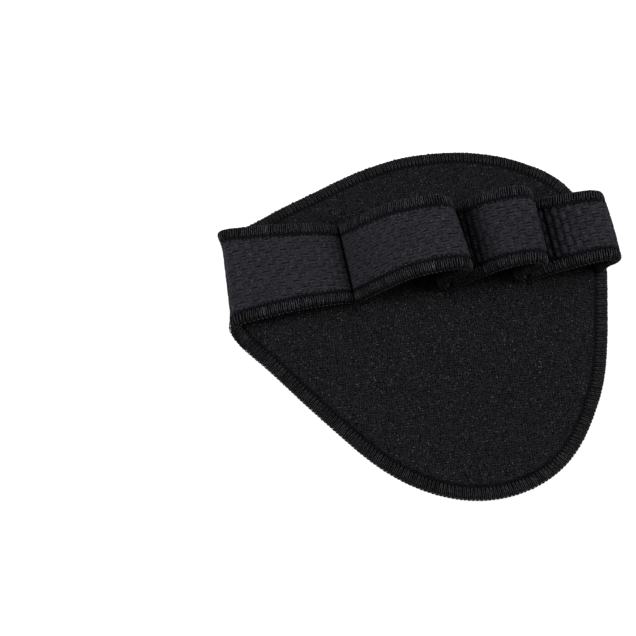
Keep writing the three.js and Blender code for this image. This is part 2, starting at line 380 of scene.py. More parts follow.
def add_piece(name, points, faces, flat, materials, face_material=None, marks=()):
    """A mesh piece from points in millimetres, with its flat coordinates as a UV map. Marks are
    numbers that belong to its points, by name."""
    mesh = bpy.data.meshes.new(name)
    mesh.from_pydata(row_frame(points).tolist(), [], faces)
    uv = mesh.uv_layers.new(name="flat")
    corner_vertex = np.zeros(len(mesh.loops), np.int32)
    mesh.loops.foreach_get("vertex_index", corner_vertex)
    uv.data.foreach_set("uv", np.asarray(flat, np.float32)[corner_vertex].ravel())
    for material in materials:
        mesh.materials.append(material)
    if face_material is not None:
        mesh.polygons.foreach_set("material_index", np.asarray(face_material, np.int32))
    mesh.polygons.foreach_set("use_smooth", np.ones(len(mesh.polygons), bool))
    for mark, values in dict(marks).items():
        attribute = mesh.attributes.new(mark, "FLOAT", "POINT")
        attribute.data.foreach_set("value", np.asarray(values, np.float32).ravel())
    turn_outwards(mesh)
    mesh.update()
    return add_object(name, mesh)


def turn_outwards(mesh):
    """Flips every face of a closed mesh whose faces look inwards."""
    mesh.calc_loop_triangles()
    corners = np.zeros(len(mesh.loop_triangles) * 3, np.int32)
    mesh.loop_triangles.foreach_get("vertices", corners)
    places = np.zeros(len(mesh.vertices) * 3)
    mesh.vertices.foreach_get("co", places)
    a, b, c = places.reshape(-1, 3)[corners.reshape(-1, 3)].transpose(1, 0, 2)
    if (a * np.cross(b, c)).sum() < 0:
        mesh.flip_normals()


def grid_faces(ids):
    """Quads over a grid of vertex numbers, as triangles or nothing where its lines have met."""
    a, b = ids[:-1, :-1].ravel(), ids[1:, :-1].ravel()
    c, d = ids[1:, 1:].ravel(), ids[:-1, 1:].ravel()
    faces = np.stack([a, b, c, d], 1)
    whole = faces[(a != d) & (b != c)].tolist()
    left = faces[(a == d) & (b != c)][:, [0, 1, 2]].tolist()
    right = faces[(a != d) & (b == c)][:, [0, 1, 3]].tolist()
    return whole + left + right


def tube(path, outwards, radius, sides):
    """A round thread along a path: its points, faces and flat coordinates."""
    ahead = np.gradient(path, axis=0)
    ahead /= np.linalg.norm(ahead, axis=1)[:, None]
    side = np.cross(ahead, outwards)
    side /= np.linalg.norm(side, axis=1)[:, None] + 1e-9
    out = np.cross(side, ahead)
    angle = np.linspace(0, 2 * math.pi, sides, endpoint=False)
    around = np.cos(angle)[:, None] * out[:, None] + np.sin(angle)[:, None] * side[:, None]
    points = path[:, None] + around * radius[:, None, None]
    ids = np.arange(len(path) * sides).reshape(len(path), sides)
    faces = grid_faces(np.concatenate([ids, ids[:, :1]], 1))
    faces += [ids[0].tolist(), ids[-1, ::-1].tolist()]
    along = lengths_along(path)[:, None]
    flat = np.stack(np.broadcast_arrays(along, angle / (2 * math.pi)), -1)
    return points.reshape(-1, 3), faces, flat.reshape(-1, 2)


class Threads:
    """Threads that are gathered into one piece, each with its own material."""

    def __init__(self):
        self.points, self.faces, self.flat, self.finish, self.shade = [], [], [], [], []
        self.count = 0

    def add(self, path, outwards, radius, sides, finish, shade=1.0):
        """A thread along a path, with how well light gets to each of its points."""
        radius, shade = np.broadcast_to(radius, len(path)), np.broadcast_to(shade, len(path))
        points, faces, flat = tube(path, outwards, radius, sides)
        self.points.append(points)
        self.faces += [[k + self.count for k in face] for face in faces]
        self.flat.append(flat)
        self.shade.append(np.repeat(shade, sides))
        self.finish += [finish] * len(faces)
        self.count += len(points)

    def piece(self, name, materials):
        return add_piece(name, np.concatenate(self.points), self.faces,
                         np.concatenate(self.flat), materials, self.finish,
                         {"shade": np.concatenate(self.shade)})


# Materials

KNIT_WALE, KNIT_COURSE = 0.80, 0.86  # a loop of the jersey, across and up


class Finish:
    """A material's node tree, built one node at a time."""

    def __init__(self, name):
        self.material = bpy.data.materials.new(name)
        self.material.use_nodes = True
        self.tree = self.material.node_tree
        self.shader = self.tree.nodes["Principled BSDF"]

    def add(self, kind, inputs=(), **settings):
        node = self.tree.nodes.new(kind)
        for key, value in settings.items():
            setattr(node, key, value)
        for key, value in dict(inputs).items():
            if isinstance(value, bpy.types.NodeSocket):
                self.tree.links.new(value, node.inputs[key])
            else:
                node.inputs[key].default_value = value
        return node

    def math(self, operation, *values):
        return self.add("ShaderNodeMath", enumerate(values), operation=operation).outputs[0]

    def plus(self, value, *parts):
        """A value and other ones, each with its weight."""
        for part, weight in parts:
            value = self.math("MULTIPLY_ADD", part, weight, value)
        return value

    def flat(self):
        """The flat coordinates: their own socket, and each number by itself."""
        place = self.add("ShaderNodeUVMap", uv_map="flat").outputs[0]
        parts = self.add("ShaderNodeSeparateXYZ", {0: place})
        return place, parts.outputs[0], parts.outputs[1]

    def stretched(self, place, scale):
        return self.add("ShaderNodeVectorMath", {0: place, 1: scale},
                        operation="MULTIPLY").outputs[0]

    def noise(self, place, scale, detail=2.0, rough=0.5):
        node = self.add("ShaderNodeTexNoise", {"Vector": place, "Scale": scale,
                                               "Detail": detail, "Roughness": rough})
        return node.outputs["Fac"]

    def specks(self, place, scale):
        """A random number for each small cell of the cloth."""
        node = self.add("ShaderNodeTexVoronoi", {"Vector": place, "Scale": scale})
        return self.add("ShaderNodeSeparateXYZ", {0: node.outputs["Color"]}).outputs[0]

    def tufts(self, place, scale):
        """Small rounded tufts side by side: 1 in the middle of each and 0 between them."""
        node = self.add("ShaderNodeTexVoronoi", {"Vector": place, "Scale": scale,
                                                 "Randomness": 0.75})
        return self.ramp(node.outputs["Distance"], 0.12, 0.62, 1.0, 0.0)

    def mark(self, name):
        return self.add("ShaderNodeAttribute", attribute_name=name).outputs["Fac"]

    def ramp(self, value, low, high, first=0.0, last=1.0):
        node = self.add("ShaderNodeMapRange", {"Value": value, "From Min": low, "From Max": high,
                                               "To Min": first, "To Max": last})
        return node.outputs[0]

    def colour(self, dark, light, share):
        """From dark at a share of 0 to light at 1, and beyond it for painted highlights."""
        node = self.add("ShaderNodeMix", {0: share, 6: (*dark, 1), 7: (*light, 1)},
                        data_type="RGBA", clamp_factor=False, clamp_result=True)
        self.tree.links.new(node.outputs[2], self.shader.inputs["Base Color"])

    def bump(self, height, depth):
        """Bump from a height in millimetres times depth."""
        node = self.add("ShaderNodeBump", {"Height": height, "Distance": depth * MM})
        self.tree.links.new(node.outputs[0], self.shader.inputs["Normal"])

    def set(self, **values):
        for key, value in values.items():
            self.shader.inputs[key.replace("_", " ")].default_value = value
        return self.material


def jersey_finish():
    """A fine black knit: small loops in wales and courses under a fluff, with painted glints."""
    finish = Finish("jersey")
    place, x, y = finish.flat()
    drift = finish.noise(place, 0.3)
    wale = finish.plus(0.0, (drift, 1.2), (x, 1 / KNIT_WALE))
    course = finish.plus(0.0, (drift, 0.6), (y, 1 / KNIT_COURSE))
    across = finish.math("PINGPONG", finish.math("FRACT", wale), 0.5)
    down = finish.math("PINGPONG", finish.math("FRACT", course), 0.5)
    loop = finish.math("MULTIPLY", finish.ramp(across, 0.05, 0.45), finish.ramp(down, 0.0, 0.4))
    fluff = finish.tufts(place, 2.7)
    finish.bump(finish.plus(0.0, (loop, 0.7), (fluff, 0.6)), 0.14)
    cell = finish.add("ShaderNodeCombineXYZ", {0: finish.math("FLOOR", wale),
                                               1: finish.math("FLOOR", course)}).outputs[0]
    chance = finish.add("ShaderNodeTexWhiteNoise", {"Vector": cell}).outputs["Value"]
    speck = finish.specks(place, 4.2)
    lit = finish.math("MULTIPLY", loop, finish.plus(0.26, (chance, 0.10)))
    # Painted glints: a few small cells far lighter than the rest
    lit = finish.plus(lit, (fluff, 0.20), (finish.ramp(speck, 0.0, 1.0, -0.26, 0.42), 1.0),
                      (finish.ramp(speck, 0.984, 0.992), 1.8))
    # Painted shade: the jersey is darker under the overlock's threads and at its needle line
    clear = finish.ramp(finish.mark("painted_shade"), 0.0, 1.0, 1.0, 0.03)
    finish.colour((0.0009, 0.0009, 0.0011), (0.0315, 0.0310, 0.0346),
                  finish.math("MULTIPLY", lit, clear))
    return finish.set(Roughness=0.9, Specular_IOR_Level=0.05)


def grip_finish():
    """Violet-grey yarns of fluffy filaments, with painted shade where they dive, and painted light
    on the narrow yarns on top and in glints. The flat coordinates count yarns."""
    finish = Finish("grip_weave")
    place, _, _ = finish.flat()
    over = finish.mark("rib")
    across_fibres = finish.tufts(finish.stretched(place, (4.2, 3.7, 1.0)), 1.0)
    along_fibres = finish.tufts(finish.stretched(place, (3.0, 6.0, 1.0)), 1.0)
    fibres = finish.add("ShaderNodeMix", {0: over, 2: across_fibres, 3: along_fibres}).outputs[0]
    finish.bump(fibres, 0.10)
    patch = finish.noise(place, 0.16)
    chance = finish.specks(place, 6.2)
    # Painted light: the narrow yarns on top are lighter, and a few cells glint
    lit = finish.plus(finish.ramp(chance, 0.0, 1.0, 0.08, 0.80), (fibres, 0.34), (patch, 0.10),
                      (over, 0.35), (finish.ramp(chance, 0.985, 0.992), 0.9))
    # Painted shade from the weave's crevices, the needle line and the rows of stitches
    clear = finish.ramp(finish.mark("painted_shade"), 0.0, 1.0, 1.0, 0.05)
    finish.colour((0.0016, 0.0015, 0.0028), (0.0300, 0.0292, 0.0353),
                  finish.math("MULTIPLY", lit, clear))
    return finish.set(Roughness=0.8, Specular_IOR_Level=0.06)


def thread_finish(name, dark, light, turns):
    """Two-ply thread: plies that wind round it, fibres along them, and painted shade on its sides.
    """
    finish = Finish(name)
    place, along, around = finish.flat()
    wind = finish.plus(0.0, (around, 2.0), (along, turns))
    ply = finish.math("SINE", finish.math("MULTIPLY", wind, 2 * math.pi))
    fibre = finish.noise(finish.stretched(place, (2.2, 9.0, 1.0)), 1.0, 3.0, 0.65)
    finish.bump(finish.plus(0.0, (ply, 0.35), (fibre, 0.9)), 0.08)
    patch = finish.noise(place, 4.2)
    lit = finish.plus(finish.ramp(fibre, 0.35, 0.65, 0.0, 0.45), (ply, 0.10),
                      (finish.ramp(patch, 0.37, 0.63, -0.40, 0.76), 1.0))
    # Painted light and shade: lighter on the thread's outward side, darker on its sides
    outward_light = finish.math("COSINE", finish.math("MULTIPLY", around, 2 * math.pi))
    lit = finish.math("MULTIPLY", lit, finish.ramp(outward_light, 0.0, 1.0, 0.25, 1.0))
    finish.colour(dark, light, finish.math("MULTIPLY", lit, finish.mark("shade")))
    return finish.set(Roughness=0.6, Specular_IOR_Level=0.12)


JERSEY = jersey_finish()
GRIP = grip_finish()
LOOPER = thread_finish("looper_thread", (0.0012, 0.0012, 0.0015), (0.066, 0.0648, 0.0740), 0.7)
NEEDLE = thread_finish("needle_thread", (0.0006, 0.0005, 0.0018), (0.0110, 0.0095, 0.0185), 1.6)
ROW_THREAD = thread_finish("row_thread", (0.0008, 0.0008, 0.0012), (0.011, 0.0107, 0.0135), 1.4)


# Foam with its jersey face

# From the jersey face round the cut edge to the foam under the grip fabric: (share of the
# overlock's reach, height)
RIM_SECTION = [
    (1.45, 0.0), (1.24, 0.0), (1.14, 0.07), (1.07, 0.28), (1.00, 0.50), (0.62, 0.46),
    (0.26, 0.52), (0.10, 0.80), (0.05, 1.35), (0.05, 2.25), (0.10, 2.70), (0.28, 2.96),
    (0.66, 2.98), (0.69, 1.95), (1.45, 2.5),
]
FOAM_UNDER_CLOTH = RIM_SECTION[-1][1]
RIM_STEP, FINE_STEP = 0.9, 0.35  # between sections of the foam, where straight and where bent
FACE_STEP, BACK_STEP = 1.5, 6.0  # between points of the pad's jersey face, and under its cloth
STRIP_SWELL = 0.15  # how far the strip's jersey face stands proud in its middle


def swell(u, v, share):
    """How far the jersey face stands proud of the flat: puffed up just inside the edging."""
    pillow = np.clip((share - 1.6) / 1.6, 0, 1)
    pillow = pillow * pillow * (3 - 2 * pillow)
    settle = np.exp(-np.clip(share - 1.8, 0, None) / 3.5)
    waves = 0.06 * ripple(u, v, 26.0, 3) + 0.03 * ripple(u, v, 9.0, 4)
    sewn = np.clip(1 - 4 * press(u, v), 0, 1)
    return pillow * sewn * (0.03 + 0.08 * settle + waves)


def rim_ring(at):
    """The rim's section at lengths along the cut edge: u, v, height and how much painted shade
    each point has, in the dark under the threads, as arrays of sections by section points."""
    share, height = np.array(RIM_SECTION).T
    u, v = from_edge(at[:, None], share[None])
    # Painted shade under the overlock's threads, a little uneven
    painted_shade = np.clip((1.20 - share) / 0.08, 0, 1) * np.where(share < 0.9, 0.74, 1.0)
    painted_shade = painted_shade * np.clip(0.84 + 0.2 * ripple(u, v, 3.2, 5), 0, 1)
    return u, v, np.broadcast_to(height, u.shape), painted_shade


def palm_foam():
    at = np.linspace(FOLD_LOW, FOLD_HIGH, int((FOLD_HIGH - FOLD_LOW) / RIM_STEP))
    u, v, height, painted_shade = rim_ring(at)
    points = [np.stack([u, v, height], -1).reshape(-1, 3)]
    ids = np.arange(u.size).reshape(u.shape)
    faces = grid_faces(ids)
    total = u.size
    for column, step in ((0, FACE_STEP), (-1, BACK_STEP)):
        border = np.column_stack([u[:, column], v[:, column]])
        inner, cap = fill_outline(border, step)
        if column == 0:
            face_height = -swell(*inner.T, share_at(inner))
            cap = [face[::-1] for face in cap]
        else:
            face_height = np.full(len(inner), FOAM_UNDER_CLOTH)
        points.append(np.column_stack([inner, face_height]))
        numbers = np.concatenate([ids[:, column], total + np.arange(len(inner))])
        faces += [[int(numbers[k]) for k in face] for face in cap]
        total += len(inner)
    # The wall at the fold, where the strip's foam goes on
    faces.append(ids[0].tolist() + ids[-1][::-1].tolist())
    points = np.concatenate(points)
    painted_shade = np.concatenate([painted_shade.ravel(), np.zeros(len(points) - painted_shade.size)])
    return add_piece("palm_foam_pad", in_space(*points.T), faces, points[:, :2], [JERSEY],
                     marks={"painted_shade": painted_shade})


def tree_of(places):
    tree = KDTree(len(places))
    for k, (x, y) in enumerate(places):
        tree.insert((x, y, 0), k)
    tree.balance()
    return tree


def share_at(places):
    """How far each place of the flat cut is from the cut edge, as a share of the overlock's
    reach."""
    tree = tree_of(EDGE.rows)
    nearest, away = np.array([tree.find((u, v, 0))[1:] for u, v in places]).T
    return away / band(EDGE.along[nearest.astype(int)])


def fill_outline(border, spacing):
    """Points inside a closed outline, and triangles over both: border first, then inner points."""
    low, high = border.min(0), border.max(0)
    across = np.arange(low[0], high[0], spacing)
    up = np.arange(low[1], high[1], spacing * 0.87)
    grid = np.stack(np.meshgrid(across, up, indexing="ij"), -1)
    grid[:, 1::2, 0] += spacing / 2
    grid = grid.reshape(-1, 2)
    tree = tree_of(border)
    clear = np.array([tree.find((x, y, 0))[2] for x, y in grid]) > spacing * 0.6
    grid = grid[clear & inside(border, grid)]
    places = [Vector(p) for p in np.concatenate([border, grid]).tolist()]
    edges = [(k, (k + 1) % len(border)) for k in range(len(border))]
    _, _, faces, origin, _, _ = delaunay_2d_cdt(places, edges, [], 1, 1e-6)
    return grid, [[origin[k][0] for k in face] for face in faces]


def inside(border, places):
    """Whether each place is inside a closed outline."""
    x, y = places[:, 0], places[:, 1]
    found = np.zeros(len(places), bool)
    for (x0, y0), (x1, y1) in zip(border, np.roll(border, -1, axis=0)):
        if y0 == y1:
            continue
        crosses = (y0 > y) != (y1 > y)
        found ^= crosses & (x < (x1 - x0) * (y - y0) / (y1 - y0) + x0)
    return found


def strip_steps():
    """Lengths along the strip, closer together where it bends."""
    heading = np.unwrap(np.arctan2(*STRIP.heading.T[::-1]))
    bend = np.abs(np.gradient(heading, STRIP.along))
    step = np.clip(0.16 / np.maximum(bend, 1e-6), FINE_STEP, RIM_STEP)
    paces = np.cumsum(np.gradient(STRIP.along) / step)
    count = int(paces[-1] - paces[0]) + 1
    return np.interp(np.linspace(paces[0], paces[-1], count), paces, STRIP.along)


def edge_lengths(s):
    """Where the cut edge passes those lengths of the strip: low side and high side."""
    u = EDGE.rows[:, 0]
    low_part = EDGE.along <= FOLD_LOW + 1
    high_part = EDGE.along >= FOLD_HIGH - 1
    low = np.interp(-s, u[low_part], EDGE.along[low_part])
    high = np.interp(s, -u[high_part], EDGE.along[high_part])
    return low, high


def strip_foam():
    s = strip_steps()
    s[0] = FOAM_PARTING
    low, high = (np.stack(rim_ring(at)) for at in edge_lengths(s))
    share = np.linspace(0, 1, 14)[1:-1]

    def between(start, end, height, bulge):
        u, v = start[:2, :, None] + share * (end - start)[:2, :, None]
        return np.stack([u, v, height - bulge * np.sin(math.pi * share) + 0 * u, 0 * u])

    # Round the section: the low rim, the foam under the cloth, the high rim, the jersey face
    under = between(low[..., -1], high[..., -1], FOAM_UNDER_CLOTH, 0.0)
    face = between(high[..., 0], low[..., 0], 0.0, STRIP_SWELL)
    u, v, height, painted_shade = np.concatenate([low, under, high[..., ::-1], face], 2)
    ids = np.arange(u.size).reshape(u.shape)
    faces = grid_faces(np.concatenate([ids, ids[:, :1]], 1))
    faces += [ids[0].tolist(), ids[-1][::-1].tolist()]
    points = in_space(u, v, height).reshape(-1, 3)
    flat = np.column_stack([u.ravel(), v.ravel()])
    return add_piece("finger_strip_foam", points, faces, flat, [JERSEY], marks={"painted_shade": painted_shade})


# Woven grip fabric

# In yarn pitches: half the narrow yarn's width, and where a wide one has climbed up beside it
RIB_HALF, CLIMBED = 0.13, 0.42
# From the middle of a narrow yarn: the crevice where a wide one dives beside it, and its painted
# shade
CREVICE, CREVICE_SHADE = [0.08, 0.12, 0.25, 0.31], [0.0, 1.0, 1.0, 0.0]
COLUMN_STOPS = [0.0, 0.05, 0.17, 0.34, 0.5, 0.66, 0.83, 0.95]
ROW_STOPS = [0.0, 0.08, 0.12, 0.25, 0.31, 0.42, 0.58, 0.69, 0.75, 0.88, 0.92]
PALM_COLUMN_STOPS = [0.0, 0.10, 0.30, 0.5, 0.70, 0.90]
PALM_ROW_STOPS = [0.0, 0.17, 0.26, 0.38, 0.62, 0.74, 0.83]
BACK_LINES = 6
WEAVE_TOP, WEAVE_FLOOR = 0.42, 0.30  # relief of a wide yarn where it floats and where it dives
CLOTH_BACK, CLOTH_BACK_PRESSED = 0.45, 0.60  # from the weave's root down to the fabric's back
# As shares of the overlock's reach: where the fabric ends, where it rises from under the threads
# and over how much, and how far in it has painted shade
CLOTH_SHARE, RISE_SHARE, RISE_OVER, SHADE_SHARE = 0.72, 0.98, 0.17, 1.26
# Places where the strip climbs to a small loop and its yarns bulge, how much, and their painted
# shade
BULGE_STOPS = [-184, -178, -169, -158, -131, -122, -114, -108]
BULGE = [0, 0.3, 0.9, 0.8, 0, 0.4, 1, 0.7]
BULGE_SHADE = [0, 0, 0, 0, 0, 0.25, 0.42, 0.5]
CHANCES = 64
YARN_CHANCES = np.random.default_rng(31).random((CHANCES, CHANCES, 2))


def bulge_at(u):
    return np.interp(u, BULGE_STOPS, BULGE, 0, 0)


def weave(u, v):
    """Relief of the weave in millimetres, where the narrow yarn is on top, and the painted shade
    where a wide yarn dives under it, beside yarns that bulge and on a flank under a taller loop.
    Wide yarns run across the strip side by side. Narrow yarns run along it, a pitch apart, and
    pass over every second wide yarn, so each wide yarn floats over every second narrow one."""
    column = np.floor(u / WEAVE_PITCH)
    a = 2 * (u / WEAVE_PITCH - column) - 1
    nearest = np.round(v / WEAVE_PITCH)
    off = v / WEAVE_PITCH - nearest
    over = (nearest + column) % 2 == 0
    from_rib = np.where(over, np.abs(off), 1 - np.abs(off))
    rib_above = np.where(off > 0, 1, -1)
    rib_number = np.where(over, nearest, nearest + rib_above)
    high_side = np.where(over, off > 0, off < 0)
    chance = YARN_CHANCES[rib_number.astype(int) % CHANCES, column.astype(int) % CHANCES,
                          high_side.astype(int)]
    bulge = bulge_at(u)
    depth = (np.where(high_side, 0.8, 0.4) + 0.4 * chance) * (1 + 0.8 * bulge)
    pillow = 1 - np.abs(a) ** 2.2
    climb = np.clip((from_rib - RIB_HALF) / (CLIMBED - RIB_HALF), 0, 1)
    floor = WEAVE_FLOOR - 0.20 * np.clip(depth, 0, 1)
    float_height = floor + (WEAVE_TOP - floor) * np.sin(climb * math.pi / 2) ** 0.7
    float_height = float_height * (0.08 + 0.92 * pillow)
    arch = 0.10 + 0.30 * np.sqrt(np.clip(1 - (from_rib / RIB_HALF) ** 2, 0, 1))
    narrow = np.where(from_rib < RIB_HALF, arch * (0.7 + 0.3 * (1 - a ** 4)), 0)
    dive = np.minimum(np.interp(from_rib, CREVICE, CREVICE_SHADE) * depth, 1)
    dive = dive * np.clip((1.0 - np.abs(a)) / 0.1, 0, 1)
    beside = np.clip((np.abs(a) - 0.15 - 0.5 * np.minimum(from_rib, 0.9)) / 0.3, 0, 1)
    shade = np.interp(u, BULGE_STOPS, BULGE_SHADE, 0, 0)
    # Painted shade: in the crevices, beside bulging yarns and on the flank under a taller loop
    dark = np.maximum(np.maximum(dive, 0.92 * bulge * beside), shade)
    return np.maximum(float_height, narrow), (narrow > float_height).astype(float), dark


def yarn_shift(u, v):
    """How far hand-feed and tension have moved each place of the woven face."""
    slant = np.interp(u / WEAVE_PITCH % 1, [0.0, 0.05, 0.95, 1.0], [0.0, 0.08, -0.08, 0.0])
    along = 0.15 * ripple(u, v, 9.0, 32)
    across = 0.12 * ripple(u, v, 7.0, 34) + slant
    return along, across


def weave_lines(low, high, stops):
    """Lines a few to each yarn, between two places."""
    yarns = np.arange(math.floor(low / WEAVE_PITCH), math.ceil(high / WEAVE_PITCH) + 1)
    lines = (yarns[:, None] + np.array(stops)).ravel() * WEAVE_PITCH
    return lines[(lines > low) & (lines < high)]


def cloth_mesh(u, low, high, row_stops):
    """A flat sheet of two layers over the columns at u, each from low to high: a front with lines
    for the weave, a plain back, and walls between them. Its places, which of them are on the back,
    and its faces."""
    lines = weave_lines(low.min() - WEAVE_PITCH, high.max() + WEAVE_PITCH, row_stops)
    lines = np.round(lines, 9)
    first = np.searchsorted(lines, low) - 1
    last = np.searchsorted(lines, high)
    number = np.clip(np.arange(len(lines))[None], first[:, None], last[:, None])
    ids = np.arange(len(u))[:, None] * len(lines) + number
    v = np.clip(np.broadcast_to(lines, ids.shape), low[:, None], high[:, None])
    front = np.column_stack([np.repeat(u, len(lines)), v.ravel()])
    faces = grid_faces(ids)
    back_v = np.linspace(low, high, BACK_LINES, axis=1)
    back = np.column_stack([np.repeat(u, BACK_LINES), back_v.ravel()])
    back_ids = len(front) + np.arange(len(back)).reshape(back_v.shape)
    faces += [face[::-1] for face in grid_faces(back_ids)]
    faces += grid_faces(np.stack([back_ids[:, 0], ids[:, 0]], 1))
    faces += grid_faces(np.stack([ids[:, -1], back_ids[:, -1]], 1))
    for column, order in ((0, 1), (-1, -1)):
        seen = list(dict.fromkeys(ids[column].tolist()))
        wall = seen + back_ids[column][::-1].tolist()
        faces.append(wall[::order])
    places = np.concatenate([front, back])
    used = sorted({k for face in faces for k in face})
    number = {k: n for n, k in enumerate(used)}
    faces = [[number[k] for k in face] for face in faces]
    return places[used], np.array(used) >= len(front), faces


def cloth_piece(name, columns, low, high, row_stops):
    """A sheet of grip fabric, pressed down and in painted shade where the overlock lies over it.
    """
    places, is_back, faces = cloth_mesh(columns, low, high, row_stops)
    u, v = places.T
    share = share_at(places)
    relief, rib, dark = weave(u, v)
    rise = np.clip((share - RISE_SHARE) / RISE_OVER, 0, 1)
    rise = rise * rise * (3 - 2 * rise)
    base = LAMINATE - WEAVE_TOP - CLOTH_DIP * (1 - rise)
    relief = WEAVE_TOP + (relief - WEAVE_TOP) * (1 + 0.6 * bulge_at(u))
    back = base - CLOTH_BACK - (CLOTH_BACK_PRESSED - CLOTH_BACK) * (1 - rise)
    height = np.where(is_back, back, base + relief * (0.45 + 0.55 * rise))
    along, across = yarn_shift(u, v)
    loose = rise * np.where(is_back, 0, 1) * np.clip(np.abs(u) / 3, 0, 1)
    points = in_space(u + along * loose, v + across * loose, height)
    # Painted shade along the needle line, with a jagged edge at each stitch
    teeth = 4 * np.abs(u / STITCH % 1 - 0.5) - 1
    jag = (0.13 + 0.06 * ripple(u, v, 2.6, 36)) * teeth
    painted_shade = np.maximum(dark, np.clip((SHADE_SHARE + jag - share) / 0.08, 0, 1))
    painted_shade = np.maximum(painted_shade, sewn_shade(u, v))
    return add_piece(name, points, faces, places / WEAVE_PITCH, [GRIP],
                     marks={"rib": rib, "painted_shade": painted_shade})


def palm_cloth():
    at = np.linspace(FOLD_LOW - 6, FOLD_HIGH + 6, 2400)
    u, v = from_edge(at, CLOTH_SHARE)
    turning = u.argmax()
    end = u.max() - CLOTH_PARTING
    columns = weave_lines(0.0, end, PALM_COLUMN_STOPS)
    columns = np.concatenate([[CLOTH_PARTING], columns, [end]])
    low = np.interp(columns, u[:turning], v[:turning])
    high = np.interp(columns, u[:turning - 1:-1], v[:turning - 1:-1])
    return cloth_piece("palm_grip_cloth", columns, low, high, PALM_ROW_STOPS)


def strip_cloth():
    s = -weave_lines(-STRIP.length + 0.05, -0.05, COLUMN_STOPS)[::-1]
    s = np.concatenate([[CLOTH_PARTING], s, [STRIP.length]])
    at = np.linspace(0, EDGE.length, 6000)
    u, v = from_edge(at, CLOTH_SHARE)
    low_part, high_part = at < FOLD_LOW + 9, at > FOLD_HIGH - 9
    low = np.interp(-s, u[low_part], v[low_part])
    high = np.interp(s, -u[high_part], v[high_part])
    return cloth_piece("strip_grip_cloth", -s[::-1], low[::-1], high[::-1], ROW_STOPS)


# Overlocked edges

# A looper thread's way from the needle hole to the cut edge: (share of its reach, height over
# the pressed face)
LOOPER_WAY = [(1.00, -0.30), (0.96, 0.02), (0.87, 0.20), (0.70, 0.27), (0.45, 0.29),
              (0.24, 0.20), (0.08, -0.10), (0.0, -0.55)]
# How far along its stitch the outgoing thread is at shares of that way, and how well lit
SPREAD_SHARES = [0.0, 0.12, 0.3, 0.6, 0.88, 1.0]
SPREAD = [0.0, 0.13, 0.23, 0.25, 0.30, 0.5]
LIT_SHARES = [0.0, 0.13, 0.26, 0.70, 0.86, 1.0]
LIT = [0.03, 0.35, 1.0, 1.05, 0.35, 0.05]
LEAN = 0.35  # how far along the edge a thread leans on its way out
POINTS_OUT = 10
CHAIN_OUT = -0.07  # the two loopers' chain stands outside the cut edge
LIT_ON_GRIP, LIT_ON_JERSEY = 1.25, 0.92  # light on the threads of the two faces
# How uneven the stitches are: along the edge and in height, and as shares in reach, thickness
# and light
UNEVEN_HOLES, UNEVEN_HEIGHT = 0.07, 0.03
UNEVEN_REACH, UNEVEN_RADIUS, UNEVEN_LIT = 0.015, 0.10, 0.22


def chain_height(at):
    """Height of the line where the two loopers catch each other, over the jersey side."""
    return np.interp(at, FOLD_STOPS, [1.75, 2.2, 2.2, 0.9])


def looper_path(first, last, grip_side, random):
    """The looper's whole way along the edge: lengths along it, shares, heights, radii and how
    well lit it is."""
    stitches = int(round((last - first) / STITCH))
    holes = np.linspace(first, last, stitches + 1)
    holes = holes + random.normal(0, UNEVEN_HOLES, stitches + 1)
    way = np.array(LOOPER_WAY)
    chord = lengths_along(way * [PAD_BAND, 1])
    share = np.linspace(0, 1, POINTS_OUT)
    reach, over = (np.interp(share * chord[-1], chord, column) for column in way.T)
    out_and_back, reach, over = (np.concatenate([k, k[-2:0:-1]]) for k in (share, reach, over))
    spread = np.interp(share, SPREAD_SHARES, SPREAD)
    spread = np.concatenate([spread, 1 - spread[-2:0:-1]])
    gap = np.diff(holes)[:, None]
    at = holes[:-1, None] + gap * spread + LEAN * out_and_back
    jitter = random.normal(0, 1, (stitches, 4))
    reach = reach + UNEVEN_REACH * jitter[:, :1] * out_and_back
    over = over + UNEVEN_HEIGHT * jitter[:, 1:2]
    tip = np.clip((out_and_back - 0.72) / 0.28, 0, 1) ** 2
    if grip_side:
        face, chain = LAMINATE - GRIP_DIP + over, chain_height(at) + 0.12
    else:
        face, chain = JERSEY_DIP - over, chain_height(at) - 0.12
    height = face * (1 - tip) + chain * tip
    radius = LOOPER_RADIUS * (1 + UNEVEN_RADIUS * jitter[:, 2:3]) + 0 * reach
    lit = np.interp(out_and_back, LIT_SHARES, LIT) * (1 + UNEVEN_LIT * jitter[:, 3:])
    return [column.ravel() for column in (at, reach, height, radius, np.clip(lit, 0, 2))]


